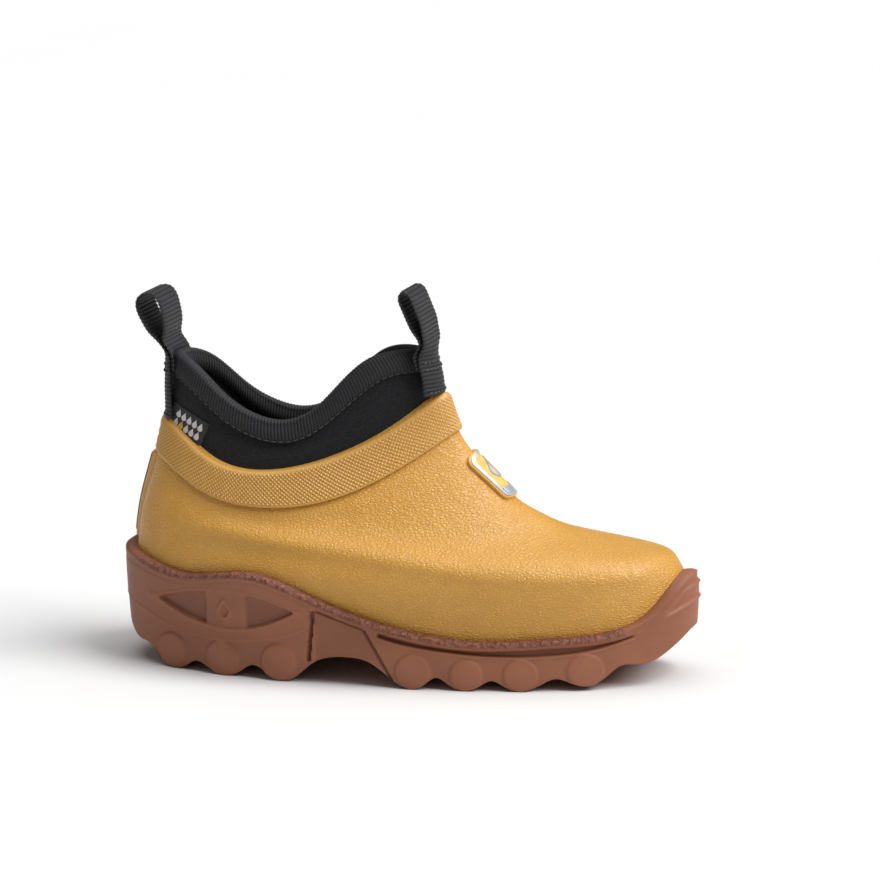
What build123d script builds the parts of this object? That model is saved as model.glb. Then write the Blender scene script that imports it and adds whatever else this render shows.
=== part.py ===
from build123d import *
import os
import numpy as np

# A child's ankle rain boot for the right foot, in millimetres.
# +X runs from heel to toe, +Y to the inner side of the foot, +Z up.
# The origin is on the ground, under the middle of the sole.

# ---- overall sizes ----
SOLE_LENGTH = 206.0       # heel to toe, over the sole's side walls
SOLE_WIDTH = 84.0         # across the ball, over the sole's side walls
BOOT_HEIGHT = 112.0       # ground to the highest point of the collar's edge

# ---- walls and layers, each measured square to the surface ----
SOLE_WALL = 4.0           # sole's side wall, outside the upper
SOLE_LIP = 0.7            # bead along the top of the sole, proud of its side wall
LIP_HEIGHT = 3.2
SHELL_WALL = 1.8          # moulded rubber upper
LINING = 1.2              # textile lining bonded inside the rubber
NEOPRENE = 2.6            # collar
TAPE = 0.7                # folded binding tape on the collar's edge
TAPE_DROP = 6.5           # how far the tape reaches down each face
BAND_PROUD = 1.3          # knurled band, proud of the upper
COLLAR_TUCK = 10.0        # collar below the top of the band
FOOT_GAP = 1.2            # all round the loose footbed
FOOT_REST = 0.3           # under it, as it lies on the board
BOARD = 1.6               # insole board
FOOTBED = 4.0
COVER = 1.0
THREAD = 0.45             # how far a stitch stands out
RIB_PROUD = 2.3           # heel rib
RIB_WIDTH = 10.0
RIB_STANDOFF = 0.6        # rib's foot above the feather line
REFLECTOR = 0.5
REFLECTOR_WIDTH = 6.0

# ---- tread ----
VALLEY_RADIUS = 5.0
VALLEY_DEPTH = 4.4
ARCH_LIFT = 9.0
VALLEYS = [-68.5, -46.5, 21.5, 40, 61]     # along the sole, between its lugs

# ---- webbing loops ----
WEB_WIDTH = 20.0
WEB = 1.6                 # webbing thickness
LOOP_HEIGHT = 21.0        # above the fold
LOOP_DEPTH = 9.8
FOLD_RISE = 2.5           # the fold stands this far above the tape
NOSE = 1.4                # radius of the fixed fold
LOOP_GAP = 0.4            # between the fixed fold and the swinging loop
HEEL_LEAN = 13.0          # degrees, backwards
FRONT_LEAN = 14.0         # degrees, backwards
BAR_DROP = 6.0            # bar of stitches, below the rim
BAR_ROWS = (0.8, 3.2)     # its two rows, above the bar's foot
FLAP = 12.0               # sewn strap below the bar
SEWN_GAP = 0.05           # webbing to the tape it is sewn on

# ---- trims ----
LABEL_LENGTH = 15.0       # in side view; it wraps a little round the heel
LABEL_HEIGHT = 8.0
LABEL = 0.6
LABEL_STANDOFF = 0.6      # label's lowest point above the band
LABEL_CENTRE = (-78.5, 84.5)    # in side view, length then height
LABEL_TURN = -22.0        # degrees
BADGE_LENGTH = 22.0
BADGE_WIDTH = 15.0
BADGE = 1.5
BADGE_RIM = 1.6
BADGE_INLAY = 0.4         # border and drop, proud of the badge
BADGE_SPAN = (62, 77)     # heights it lies between on the ridge
STITCH_PITCH = 3.2
STITCH_LENGTH = 2.3

LX = SOLE_LENGTH / 206.0
WY = SOLE_WIDTH / 84.0
HZ = BOOT_HEIGHT / 112.0
REACH = 0.55 * SOLE_LENGTH      # half of every side cutter's length
SIDE = SOLE_WIDTH               # how far a side cutter reaches each way


def spline(stations, across=1.0, up=1.0):
    """Natural cubic through hand-set stations, each axis scaled; flat beyond the ends."""
    xs, ys = np.array(stations, float).T
    xs, ys = xs * across, ys * up
    count = len(xs)
    step = np.diff(xs)
    rows = np.eye(count)
    right = np.zeros(count)
    for i in range(1, count - 1):
        rows[i, i - 1:i + 2] = [step[i - 1], 2 * (step[i - 1] + step[i]), step[i]]
        right[i] = 6 * ((ys[i + 1] - ys[i]) / step[i] - (ys[i] - ys[i - 1]) / step[i - 1])
    bend = np.linalg.solve(rows, right)

    def value(x):
        x = np.clip(np.asarray(x, float), xs[0], xs[-1])
        i = np.clip(np.searchsorted(xs, x) - 1, 0, count - 2)
        d = x - xs[i]
        slope = (ys[i + 1] - ys[i]) / step[i] - step[i] * (2 * bend[i] + bend[i + 1]) / 6
        return ys[i] + slope * d + bend[i] * d ** 2 / 2 + (bend[i + 1] - bend[i]) * d ** 3 / (6 * step[i])
    return value


# ---- the last: where each level's ring starts, ends and how wide it is ----
HEEL_LINE = spline([(0, -97), (25, -99), (40, -99), (55, -96.8), (70, -92.6), (85, -89), (100, -87),
                    (125, -86)], HZ, LX)
TOE_LINE = spline([(0, 97), (12, 98.3), (24, 99), (32, 99), (37, 98.2), (41, 96), (44, 91.5), (47, 76.5),
                   (50, 62), (54, 51), (58, 43), (63, 36.8), (68, 31.8), (80, 21), (95, 14.6), (113, 8.5),
                   (125, 7)], HZ, LX)
HALF_WIDTH = spline([(0, 36.5), (12, 36.8), (25, 38), (38, 40), (50, 34), (65, 24.6), (80, 17.6),
                     (95, 16.6), (113, 18), (125, 18.5)], HZ, WY)
TOE_SWAY = 4.0 * WY       # the toe's tip lies this far to the inner side
WAIST = 0.10              # share taken off the inner side at the arch

# ---- side-view lines, height over length ----
FEATHER = spline([(-108, 42), (-99, 40), (-92, 38.8), (-70, 35.3), (-45, 38), (-20, 29.5), (5, 21.3),
                  (35, 17.3), (60, 18.5), (80, 20.8), (92, 28.6), (99, 39), (108, 50)], LX, HZ)
BAND_TOP = spline([(-108, 91), (-88, 86), (-70, 75), (-45, 70.8), (-20, 77), (0, 87.6), (14, 98),
                   (30, 109)], LX, HZ)
BAND_FOOT = spline([(-108, 78), (-88, 72), (-70, 63.4), (-45, 59.2), (-20, 63), (0, 72.4), (14, 81.7),
                    (30, 92)], LX, HZ)
RIM = spline([(-108, 108.5), (-88, 108), (-79, 105), (-65, 94.5), (-52, 88), (-40, 86.7), (-28, 92),
              (-18, 101), (-8, 109), (0, 111.5), (10, 112), (30, 112)], LX, HZ)
INSTEP_FLOOR = spline([(-108, 14), (-60, 13.5), (-20, 15), (15, 12), (50, 10.5), (80, 11.5), (108, 16)],
                      LX, HZ)


def ease(low, high, value):
    """0 below low, 1 above high, with a smooth rise between."""
    t = np.clip((value - low) / (high - low), 0, 1)
    return t * t * (3 - 2 * t)


def ring(z, inset, share):
    """Outline at height z, moved inwards by inset. share runs from -1 through 0 at the heel to 1,
    negative on the outer side: y = half-width * share^p * (1 - share)^q, scaled to peak at 1."""
    high = max(z + inset, 0.0)
    back = HEEL_LINE(z) + inset
    front = TOE_LINE(high) - inset
    half = HALF_WIDTH(high) - inset
    t = np.clip((z / HZ - 25) / 60, 0, 1)
    p = 0.38 + 0.02 * t
    q = 0.46 + 0.12 * t
    s = np.abs(share)
    peak = p / (p + q)
    y = half * (s ** p * (1 - s) ** q) / (peak ** p * (1 - peak) ** q)
    x = back + (front - back) * s
    sway = TOE_SWAY * (1 - ease(40, 60, z / HZ))
    waist = WAIST * (1 - ease(30, 70, z / HZ)) * np.exp(-((x / LX + 5) / 30) ** 2)
    y = np.where(share < 0, -y + sway * s ** 8, y * (1 - waist) + sway * s ** 3)
    return x, y


# ---- how finely the walls are faceted ----
SPANS = 16                # flats of each ring, on each side
SHARES = (1 - np.cos(np.linspace(0, np.pi, SPANS + 1))) / 2
SHARES = np.concatenate([-SHARES, SHARES[-2:0:-1]])     # once round: heel, outer side, toe, inner side


def level(z):
    """The same height all round."""
    return np.full(len(SHARES), float(z) * HZ)


def line_row(line, shift=0.0, inset=0.0):
    """Heights all round at which the last crosses a side-view line, found by halving an interval."""
    low, high = level(0), level(125)
    for _ in range(40):
        middle = (low + high) / 2
        x = np.array([ring(z, inset, share)[0] for z, share in zip(middle, SHARES)])
        above = middle > line(x) + shift
        low, high = np.where(above, low, middle), np.where(above, middle, high)
    return (low + high) / 2


def rows_between(first, last, count, power=1.0):
    """Rows from first to last. A power above 1 packs them towards first."""
    return [first + (last - first) * (i / count) ** power for i in range(count + 1)]


def points_at(inset, row):
    return [Vector(*(float(v) for v in ring(z, inset, share)), float(z)) for z, share in zip(row, SHARES)]


def polygon(corners):
    """Flat face, without the corners that fall together."""
    unique = [p for i, p in enumerate(corners) if (p - corners[i - 1]).length > 1e-6]
    return [Face(Wire.make_polygon(unique, close=True))] if len(unique) > 2 else []


def wall(path, closed):
    """Solid swept round the last. path lists (inset, row) corners in order. A closed path makes a
    hollow ring, and an open one is capped across the boot at its first and last row. Every quad is
    split along the same diagonal whichever way the path runs, so that pieces that touch share it."""
    faces = []
    loops = [points_at(inset, row) for inset, row in path]
    steps = list(range(len(path))) if closed else list(range(len(path) - 1))
    for k in steps:
        near, far = loops[k], loops[(k + 1) % len(loops)]
        (inset_a, row_a), (inset_b, row_b) = path[k], path[(k + 1) % len(path)]
        rise = float(np.mean(row_b - row_a))
        backward = rise < 0 if abs(rise) > 1e-9 else inset_b < inset_a
        for i in range(len(SHARES)):
            j = (i + 1) % len(SHARES)
            quad = [near[j], far[j], far[i], near[i]] if backward else [near[i], near[j], far[j], far[i]]
            faces += polygon([quad[0], quad[1], quad[2]]) + polygon([quad[0], quad[2], quad[3]])
    if not closed:
        for loop in (loops[0], loops[-1]):
            for i in range(SPANS):
                faces += polygon([loop[i], loop[i + 1], loop[-i - 1], loop[-i % len(loop)]])
    solid = Solid(Shell(faces))
    return solid if solid.volume > 0 else Solid(Shell([-face for face in faces]))


def up(inset, rows):
    return [(inset, row) for row in rows]


def down(inset, rows):
    return [(inset, row) for row in reversed(rows)]


def jacket(outer, inner, rows):
    """Ring-shaped wall between two insets, over the given rows."""
    return wall(up(outer, rows) + down(inner, rows), True)


def side_shape(points):
    """Solid right across the boot from a side-view outline given as (x, z)."""
    face = Face(Wire.make_polygon([Vector(x * LX, 0, z) for x, z in points], close=True))
    return extrude(face, amount=SIDE, dir=(0, 1, 0), both=True)


def rod(x, z, radius, half=SIDE):
    """Cylinder along Y."""
    return Pos(x, 0, z) * Rot(90, 0, 0) * Cylinder(radius, 2 * half)


def solids_of(result):
    """List of solids from whatever a boolean gave back."""
    if result is None:
        return []
    if isinstance(result, (list, tuple, ShapeList)):
        return [s for item in result for s in solids_of(item)]
    return list(result.solids())


def within(body, shapes):
    """The pieces of body that lie inside each of the shapes."""
    return [piece for shape in shapes for part in solids_of(body) for piece in solids_of(part & shape)]


# ---- insets of the faces where layers meet ----
COLLAR_FACE = SHELL_WALL
COLLAR_BACK = SHELL_WALL + NEOPRENE
TAPE_FACE = COLLAR_FACE - TAPE
TAPE_BACK = COLLAR_BACK + TAPE
LINING_BACK = SHELL_WALL + LINING
FOOT_FACE = LINING_BACK + FOOT_GAP


# ---- rows of the last at which pieces meet, from the ground up ----
GROUND = level(0)
SHELL_FOOT = line_row(INSTEP_FLOOR)
SHELL_FLOOR = SHELL_FOOT + SHELL_WALL
BOARD_TOP = SHELL_FLOOR + BOARD
FOOTBED_FOOT = line_row(INSTEP_FLOOR, SHELL_WALL + BOARD + FOOT_REST, FOOT_FACE)
FOOTBED_TOP = FOOTBED_FOOT + FOOTBED
COVER_TOP = FOOTBED_TOP + COVER
FEATHER_ROW = line_row(FEATHER)
BAND_FOOT_ROW = line_row(BAND_FOOT)
BAND_TOP_ROW = line_row(BAND_TOP)
COLLAR_FOOT = BAND_TOP_ROW - COLLAR_TUCK
RIM_ROW = line_row(RIM)
TAPE_FOOT = RIM_ROW - TAPE_DROP

BURIED = rows_between(BOARD_TOP, FEATHER_ROW, 2)            # inside the sole's cup
VAMP = rows_between(FEATHER_ROW, BAND_FOOT_ROW, 7, 1.8)     # feather line up to the band
BAND_ROWS = [BAND_FOOT_ROW, COLLAR_FOOT, *rows_between(COLLAR_FOOT, BAND_TOP_ROW, 2)[1:]]
COLLAR_ROWS = [*rows_between(COLLAR_FOOT, BAND_TOP_ROW, 2), *rows_between(BAND_TOP_ROW, TAPE_FOOT, 2)[1:]]
LABEL_ROWS = [BAND_TOP_ROW + LABEL_STANDOFF, *COLLAR_ROWS[3:]]      # clear of the band's top edge


def core(inset, rows):
    """Solid of everything inside an inset, over the given rows."""
    return wall(up(inset, rows), False)


def patch(columns, inner, outer, rows):
    """Skin between two insets, only where the columns meet it."""
    inside = core(inner, [rows[0] - 1, *rows, rows[-1] + 1])
    outside = core(outer, rows)
    return [solid for piece in within(outside, columns) for solid in solids_of(piece - inside)]


def tread_cutter():
    """Everything taken off below the sole: valleys, the lifted arch, and the toe spring."""
    half, deep = VALLEY_RADIUS, VALLEY_DEPTH
    cuts = [side_shape([(x - half, -1), (x - 0.8 * half, 0.5 * deep), (x - 0.35 * half, deep),
                        (x + 0.35 * half, deep), (x + 0.8 * half, 0.5 * deep), (x + half, -1)]) for x in VALLEYS]
    arch = side_shape([(-29, -10), (-25.5, ARCH_LIFT - 3), (-18, ARCH_LIFT), (-4, ARCH_LIFT), (2, ARCH_LIFT - 4),
                       (5.5, -10)])
    toe = side_shape([(78, -20), (78, 0), (84, 6), (90, 6.8), (97, 11), (112, 19), (112, -20)])
    heel = side_shape([(-112, -20), (-112, 12), (-99, 8), (-88, 1.5), (-84, -1), (-84, -20)])
    return [*cuts, arch, toe, heel]


def outsole():
    """Cup of gum rubber: lugs below, side walls with a bead along the top."""
    outer = -SOLE_WALL
    bead = outer - SOLE_LIP
    side = rows_between(GROUND, FEATHER_ROW - LIP_HEIGHT - 1.4, 4)
    path = up(outer, side) + up(bead, [FEATHER_ROW - LIP_HEIGHT, FEATHER_ROW - 0.6])
    path += [(outer + 0.4, FEATHER_ROW), (0, FEATHER_ROW)] + down(0, BURIED[:-1])
    path += [(0, SHELL_FLOOR), (0, SHELL_FOOT)]
    return wall(path, False) - tread_cutter()


def upper_shell():
    outer = [SHELL_FOOT, SHELL_FLOOR, *BURIED[:-1], *VAMP[:-1], *BAND_ROWS]
    return wall(up(0, outer) + down(SHELL_WALL, outer[1:]), False)


def insole_board():
    return wall(up(SHELL_WALL, [SHELL_FLOOR, BOARD_TOP]), False)


def sock_lining():
    return jacket(SHELL_WALL, LINING_BACK, [*BURIED[:-1], *VAMP[:-1], BAND_FOOT_ROW, COLLAR_FOOT])


def neoprene_collar():
    return jacket(COLLAR_FACE, COLLAR_BACK, [*COLLAR_ROWS, RIM_ROW])


def top_binding():
    path = [(TAPE_FACE, TAPE_FOOT), (TAPE_FACE, RIM_ROW), (TAPE_FACE + 0.2, RIM_ROW + TAPE),
            (TAPE_BACK - 0.2, RIM_ROW + TAPE), (TAPE_BACK, RIM_ROW), (TAPE_BACK, TAPE_FOOT),
            (COLLAR_BACK, TAPE_FOOT), (COLLAR_BACK, RIM_ROW), (COLLAR_FACE, RIM_ROW), (COLLAR_FACE, TAPE_FOOT)]
    return wall(path, True)


def binding_stitches():
    face = TAPE_FACE - 4 * SEWN_GAP
    line = jacket(face - THREAD, face, [TAPE_FOOT + 0.9, TAPE_FOOT + 1.7])
    start = float(HEEL_LINE(BOOT_HEIGHT)) + WEB_WIDTH / 2
    teeth = [Pos(float(x), 0, BOOT_HEIGHT / 2) * Box(STITCH_LENGTH, 2 * SIDE, 3 * BOOT_HEIGHT)
             for x in np.arange(start, -WEB_WIDTH / 3, STITCH_PITCH)]
    return within(line, teeth)


def cuff_band():
    return jacket(-BAND_PROUD, 0, BAND_ROWS)


def band_seam_stitches():
    low = float(BAND_FOOT(-90 * LX)) + 2
    high = float(BAND_TOP(-90 * LX)) - 2
    teeth = [Pos(-REACH, side * 2.2, float(z)) * Box(REACH, 0.8, STITCH_LENGTH)
             for side in (-1, 1) for z in np.arange(low, high, STITCH_PITCH)]
    return patch(teeth, -BAND_PROUD, -BAND_PROUD - THREAD, BAND_ROWS)


def heel_box(width):
    return Pos(-REACH, 0, 0) * Box(REACH, width, 4 * BOOT_HEIGHT)


def heel_rib():
    return patch([heel_box(RIB_WIDTH)], -SEWN_GAP, -RIB_PROUD, [FEATHER_ROW + RIB_STANDOFF, *VAMP[1:]])


def heel_reflector():
    low = float(FEATHER(-95 * LX)) + 3
    high = float(BAND_FOOT(-94 * LX)) - 3
    strip = Pos(-REACH, 0, (low + high) / 2) * Box(REACH, REFLECTOR_WIDTH, high - low)
    return patch([strip], -RIB_PROUD, -RIB_PROUD - REFLECTOR, VAMP)


def tape_line(end, z):
    """x of the tape's outer face on the centre line, at the heel or the front."""
    if end == "heel":
        return float(HEEL_LINE(z)) + TAPE_FACE
    return float(TOE_LINE(z + TAPE_FACE)) - TAPE_FACE


def fold_place(end):
    """Centre of the webbing's fold: the loop swings about this line along Y."""
    out = -1 if end == "heel" else 1
    rim = float(RIM(tape_line(end, 108 * HZ)))
    return tape_line(end, rim) + out * WEB, rim + TAPE + FOLD_RISE


def loop_anchor(end):
    """Sewn part of the webbing: one layer up from the band, two from the bar of stitches to the fold."""
    out = -1 if end == "heel" else 1
    x_fold, z_fold = fold_place(end)
    z_bar = z_fold - FOLD_RISE - TAPE - BAR_DROP
    z_foot = float(BAND_TOP(tape_line(end, z_bar - FLAP * HZ))) + WEB
    levels = np.linspace(z_foot, z_fold - NOSE / 2, 8)
    skin = [tape_line(end, z) + out * SEWN_GAP for z in levels]
    extra = [WEB + (WEB - 2 * SEWN_GAP) * float(ease(z_bar - 4, z_bar, z)) for z in levels]
    inner = [Vector(x, 0, float(z)) for x, z in zip(skin, levels)]
    outer = [Vector(x + out * e, 0, float(z)) for x, e, z in zip(skin, extra, levels)]
    face = Face(Wire.make_polygon(inner + outer[::-1], close=True))
    strap = extrude(face, amount=WEB_WIDTH / 2, dir=(0, 1, 0), both=True)
    return strap + rod(x_fold, z_fold, NOSE, WEB_WIDTH / 2)


def pull_loop(end):
    """Swinging part: two layers side by side that open into a drop-shaped eye."""
    x_fold, z_fold = fold_place(end)
    start = NOSE + LOOP_GAP
    half = LOOP_DEPTH / 2
    wide = LOOP_HEIGHT - half
    turns = np.radians(np.linspace(0, 180, 9))
    crown = [(half * np.cos(a), wide + half * np.sin(a)) for a in turns]
    eye = [((half - WEB) * np.cos(a), wide + (half - WEB) * np.sin(a)) for a in turns]
    flank = [(WEB, start), (WEB, start + 2.5), (0.55 * half + 0.6, start + 6), (0.92 * half, wide - 3.5)]
    outline = flank + crown + [(-u, w) for u, w in reversed(flank)]
    inner = [(0.35 * half, start + 7.5), (0.92 * half - WEB, wide - 3)]
    hole = [(0, start + 5)] + inner + eye + [(-u, w) for u, w in reversed(inner)]
    lean = np.radians(HEEL_LEAN if end == "heel" else FRONT_LEAN)

    def place(points):
        """Stood on the fold and leaned back towards the heel."""
        turned = [(u * np.cos(lean) - w * np.sin(lean), u * np.sin(lean) + w * np.cos(lean)) for u, w in points]
        return Face(Wire.make_polygon([Vector(x_fold + u, 0, z_fold + w) for u, w in turned], close=True))
    return (extrude(place(outline), amount=WEB_WIDTH / 2, dir=(0, 1, 0), both=True)
            - extrude(place(hole), amount=WEB_WIDTH, dir=(0, 1, 0), both=True))


def loop_stitches(end):
    """Bar of stitches that holds both layers of webbing to the collar."""
    out = -1 if end == "heel" else 1
    z_bar = fold_place(end)[1] - FOLD_RISE - TAPE - BAR_DROP
    anchor = loop_anchor(end)
    threads = []
    for rise in BAR_ROWS:
        x = tape_line(end, z_bar + rise) + out * (2 * WEB + THREAD / 2 - 0.25)
        for y in np.arange(-WEB_WIDTH / 2 + 2.6, WEB_WIDTH / 2 - 1.5, STITCH_PITCH):
            threads.append(Pos(x, float(y), z_bar + rise) * Box(THREAD + 0.5, STITCH_LENGTH, 0.8) - anchor)
    return threads


def label_column(outline):
    """Side-view outline on the label, pushed out past the boot's outer side."""
    plane = Plane(origin=(LABEL_CENTRE[0] * LX, 0, LABEL_CENTRE[1] * HZ), x_dir=(1, 0, 0), z_dir=(0, -1, 0))
    return extrude(plane * (Rot(0, 0, LABEL_TURN) * outline), amount=SIDE)


def side_label():
    return patch([label_column(Rectangle(LABEL_LENGTH, LABEL_HEIGHT))], COLLAR_FACE - SEWN_GAP,
                 COLLAR_FACE - LABEL, LABEL_ROWS)


def label_stitches():
    half_long, half_high = LABEL_LENGTH / 2 - 0.7, LABEL_HEIGHT / 2 - 0.7
    lines = [Pos(0, side * half_high) * Rectangle(2 * half_long + 0.5, 0.5) for side in (-1, 1)]
    lines += [Pos(side * half_long, 0) * Rectangle(0.5, 2 * half_high - 0.6) for side in (-1, 1)]
    face = COLLAR_FACE - LABEL
    return patch([label_column(line) for line in lines], face, face - THREAD / 2, LABEL_ROWS)


def drop_outline(radius, tip):
    """Plain drop: a round belly that narrows to a tip above it."""
    turns = np.radians(np.linspace(-210, 30, 11))
    return Polygon(*[(radius * np.cos(a), radius * np.sin(a)) for a in turns], (0, tip), align=None)


def label_motif():
    """Three plain drops woven in a row."""
    drops = [label_column(Pos(along, -0.6) * drop_outline(1.2, 2.6)) for along in (-4.2, 0, 4.2)]
    face = COLLAR_FACE - LABEL
    return patch(drops, face, face - THREAD / 2, LABEL_ROWS)


def badge_plane():
    """On the instep's ridge, square to it."""
    low, high = (Vector(float(TOE_LINE(z * HZ)), 0, z * HZ) for z in BADGE_SPAN)
    up = (high - low).normalized()
    return Plane(origin=(low + high) / 2, x_dir=(0, 1, 0), z_dir=up.cross(Vector(0, 1, 0)) * -1)


def arch_tile(grow):
    """Badge outline: a rectangle with a half-round upper end."""
    half = BADGE_WIDTH / 2 + grow
    foot = -BADGE_LENGTH / 2 - grow
    shoulder = BADGE_LENGTH / 2 - BADGE_WIDTH / 2
    arc = [(half * np.cos(a), shoulder + half * np.sin(a)) for a in np.radians(np.linspace(0, 180, 13))]
    return Polygon((-half + 1.5, foot), (half - 1.5, foot), (half, foot + 1.5), *arc, (-half, foot + 1.5), align=None)


def badge_skin(proud, thick, sketch):
    column = extrude(badge_plane() * sketch, amount=25, both=True)
    return patch([column], -proud, -proud - thick, [*VAMP[2:-1], BAND_FOOT_ROW])


def badge_base():
    return badge_skin(0, BADGE, arch_tile(0))


def badge_border():
    inner = extrude(badge_plane() * arch_tile(-BADGE_RIM), amount=25, both=True)
    return [plate - inner for plate in badge_skin(BADGE, BADGE_INLAY, arch_tile(0))]


def badge_motif():
    """A plain drop in the middle of the badge."""
    return badge_skin(BADGE, BADGE_INLAY, Pos(0, -1.5) * drop_outline(2.9, 6.4))


def footbed():
    return wall(up(FOOT_FACE, [FOOTBED_FOOT, FOOTBED_TOP]), False)


def footbed_cover():
    return wall(up(FOOT_FACE, [FOOTBED_TOP, COVER_TOP]), False)


def write(name, result):
    solids = [s for s in solids_of(result) if s.volume > 0.02]
    export_step(solids[0] if len(solids) == 1 else Compound(children=solids), f"parts/{name}.step")
    print(f"{name:22s} {len(solids):3d} solids {sum(s.volume for s in solids):10.1f} mm3")


os.makedirs("parts", exist_ok=True)
for make in (outsole, upper_shell, insole_board, sock_lining, neoprene_collar, top_binding, binding_stitches,
             cuff_band, band_seam_stitches, heel_rib, heel_reflector, side_label, label_stitches,
             label_motif, badge_base, badge_border, badge_motif, footbed, footbed_cover):
    write(make.__name__, make())
for end in ("heel", "front"):
    write(f"{end}_loop_anchor", loop_anchor(end))
    write(f"{end}_pull_loop", pull_loop(end))
    write(f"{end}_loop_stitches", loop_stitches(end))
    print(end, "fold", [round(v, 2) for v in fold_place(end)])
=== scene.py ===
import bmesh
import bpy
import numpy as np
from mathutils import Matrix, Vector


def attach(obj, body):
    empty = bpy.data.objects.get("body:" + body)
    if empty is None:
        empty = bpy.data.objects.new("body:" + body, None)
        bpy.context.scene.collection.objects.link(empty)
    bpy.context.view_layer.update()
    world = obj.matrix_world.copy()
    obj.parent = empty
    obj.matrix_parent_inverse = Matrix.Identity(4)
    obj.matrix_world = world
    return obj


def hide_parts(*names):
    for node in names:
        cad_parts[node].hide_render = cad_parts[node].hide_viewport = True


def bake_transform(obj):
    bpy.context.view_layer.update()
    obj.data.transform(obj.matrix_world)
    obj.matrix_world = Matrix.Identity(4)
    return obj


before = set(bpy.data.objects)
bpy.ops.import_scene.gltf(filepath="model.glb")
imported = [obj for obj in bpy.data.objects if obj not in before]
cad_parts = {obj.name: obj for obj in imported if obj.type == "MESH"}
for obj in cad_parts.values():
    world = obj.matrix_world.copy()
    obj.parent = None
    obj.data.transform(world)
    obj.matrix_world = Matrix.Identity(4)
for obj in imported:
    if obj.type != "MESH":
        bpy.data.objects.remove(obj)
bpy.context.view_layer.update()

# ==== Upper: moulded rubber shell ====
# One piece of mustard rubber moulded on the last, 1.8 mm thick, with a leather grain cut into the
# mould. It stands in the sole's cup, and its shoulder turns over at about 40 mm above the ground.
MM = 0.001
SHELL_WALL = 1.8
MERGE, HALVINGS = 2e-6, 34


def spline(stations):
    """Natural cubic through listed stations, flat beyond its ends."""
    xs, ys = np.array(stations, float).T
    count = len(xs)
    step = np.diff(xs)
    rows = np.eye(count)
    right = np.zeros(count)
    inner = np.arange(1, count - 1)
    rows[inner, inner - 1], rows[inner, inner + 1] = step[:-1], step[1:]
    rows[inner, inner] = 2 * (step[:-1] + step[1:])
    right[1:-1] = 6 * np.diff(np.diff(ys) / step)
    bend = np.linalg.solve(rows, right)

    def value(x):
        x = np.clip(np.asarray(x, float), xs[0], xs[-1])
        i = np.clip(np.searchsorted(xs, x) - 1, 0, count - 2)
        d = x - xs[i]
        slope = (ys[i + 1] - ys[i]) / step[i] - step[i] * (2 * bend[i] + bend[i + 1]) / 6
        cubic = (bend[i + 1] - bend[i]) * d ** 3 / (6 * step[i])
        return ys[i] + slope * d + bend[i] * d ** 2 / 2 + cubic
    return value


# the last, in millimetres: where each height's outline starts, ends and how wide it is
HEEL_LINE = spline([
    (0, -97), (25, -99), (40, -99), (55, -96.8), (70, -92.6), (85, -89), (100, -87), (125, -86)])
TOE_LINE = spline([
    (0, 97), (12, 98.3), (24, 99), (32, 99), (37, 98.2), (41, 96), (44, 91.5), (47, 76.5), (50, 62),
    (54, 51), (58, 43), (63, 36.8), (68, 31.8), (80, 21), (95, 14.6), (113, 8.5), (125, 7)])
HALF_WIDTH = spline([
    (0, 36.5), (12, 36.8), (25, 38), (38, 40), (50, 34), (65, 24.6), (80, 17.6), (95, 16.6), (113, 18),
    (125, 18.5)])
# side-view lines, height over length
FEATHER = spline([
    (-108, 42), (-99, 40), (-92, 38.8), (-70, 35.3), (-45, 38), (-20, 29.5), (5, 21.3), (35, 17.3),
    (60, 18.5), (80, 20.8), (92, 28.6), (99, 39), (108, 50)])
BAND_TOP = spline([
    (-108, 91), (-88, 86), (-70, 75), (-45, 70.8), (-20, 77), (0, 87.6), (14, 98), (30, 109)])
BAND_FOOT = spline([
    (-108, 78), (-88, 72), (-70, 63.4), (-45, 59.2), (-20, 63), (0, 72.4), (14, 81.7), (30, 92)])
INSTEP_FLOOR = spline([(-108, 14), (-60, 13.5), (-20, 15), (15, 12), (50, 10.5), (80, 11.5), (108, 16)])


def ease(low, high, value):
    """0 below low, 1 above high, with a smooth rise between."""
    t = np.clip((value - low) / (high - low), 0, 1)
    return t * t * (3 - 2 * t)


def last_xy(z, inset, share):
    """Outline at height z, moved inwards by inset. share runs from -1 through 0 at the heel to 1,
    negative on the outer side: y = half-width * share^p * (1 - share)^q, scaled to peak at 1."""
    z, inset, share = np.broadcast_arrays(*(np.asarray(v, float) for v in (z, inset, share)))
    high = np.maximum(z + inset, 0)
    back, front, half = HEEL_LINE(z) + inset, TOE_LINE(high) - inset, HALF_WIDTH(high) - inset
    t = np.clip((z - 25) / 60, 0, 1)
    p, q = 0.38 + 0.02 * t, 0.46 + 0.12 * t
    s = np.clip(np.abs(share), 0, 1)
    peak = p / (p + q)
    y = half * s ** p * (1 - s) ** q / (peak ** p * (1 - peak) ** q)
    x = back + (front - back) * s
    sway = 4 * (1 - ease(40, 60, z))
    waist = 0.10 * (1 - ease(30, 70, z)) * np.exp(-((x + 5) / 30) ** 2)
    return x, np.where(share < 0, -y + sway * s ** 8, y * (1 - waist) + sway * s ** 3)


def share_at(turn):
    """Share of the outline at an angle round the boot, from 0 at the heel to pi at the toe and back."""
    return np.where(np.asarray(turn) < np.pi, -1, 1) * (1 - np.cos(turn)) / 2


def crossing(line, share, shift=0.0, inset=0.0):
    """Height at which the last crosses a side-view line, found by halving an interval."""
    low, high = np.zeros(np.shape(share)), np.full(np.shape(share), 125.0)
    for _ in range(HALVINGS):
        middle = (low + high) / 2
        above = middle > line(last_xy(middle, inset, share)[0]) + shift
        low, high = np.where(above, low, middle), np.where(above, middle, high)
    return (low + high) / 2


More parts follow.
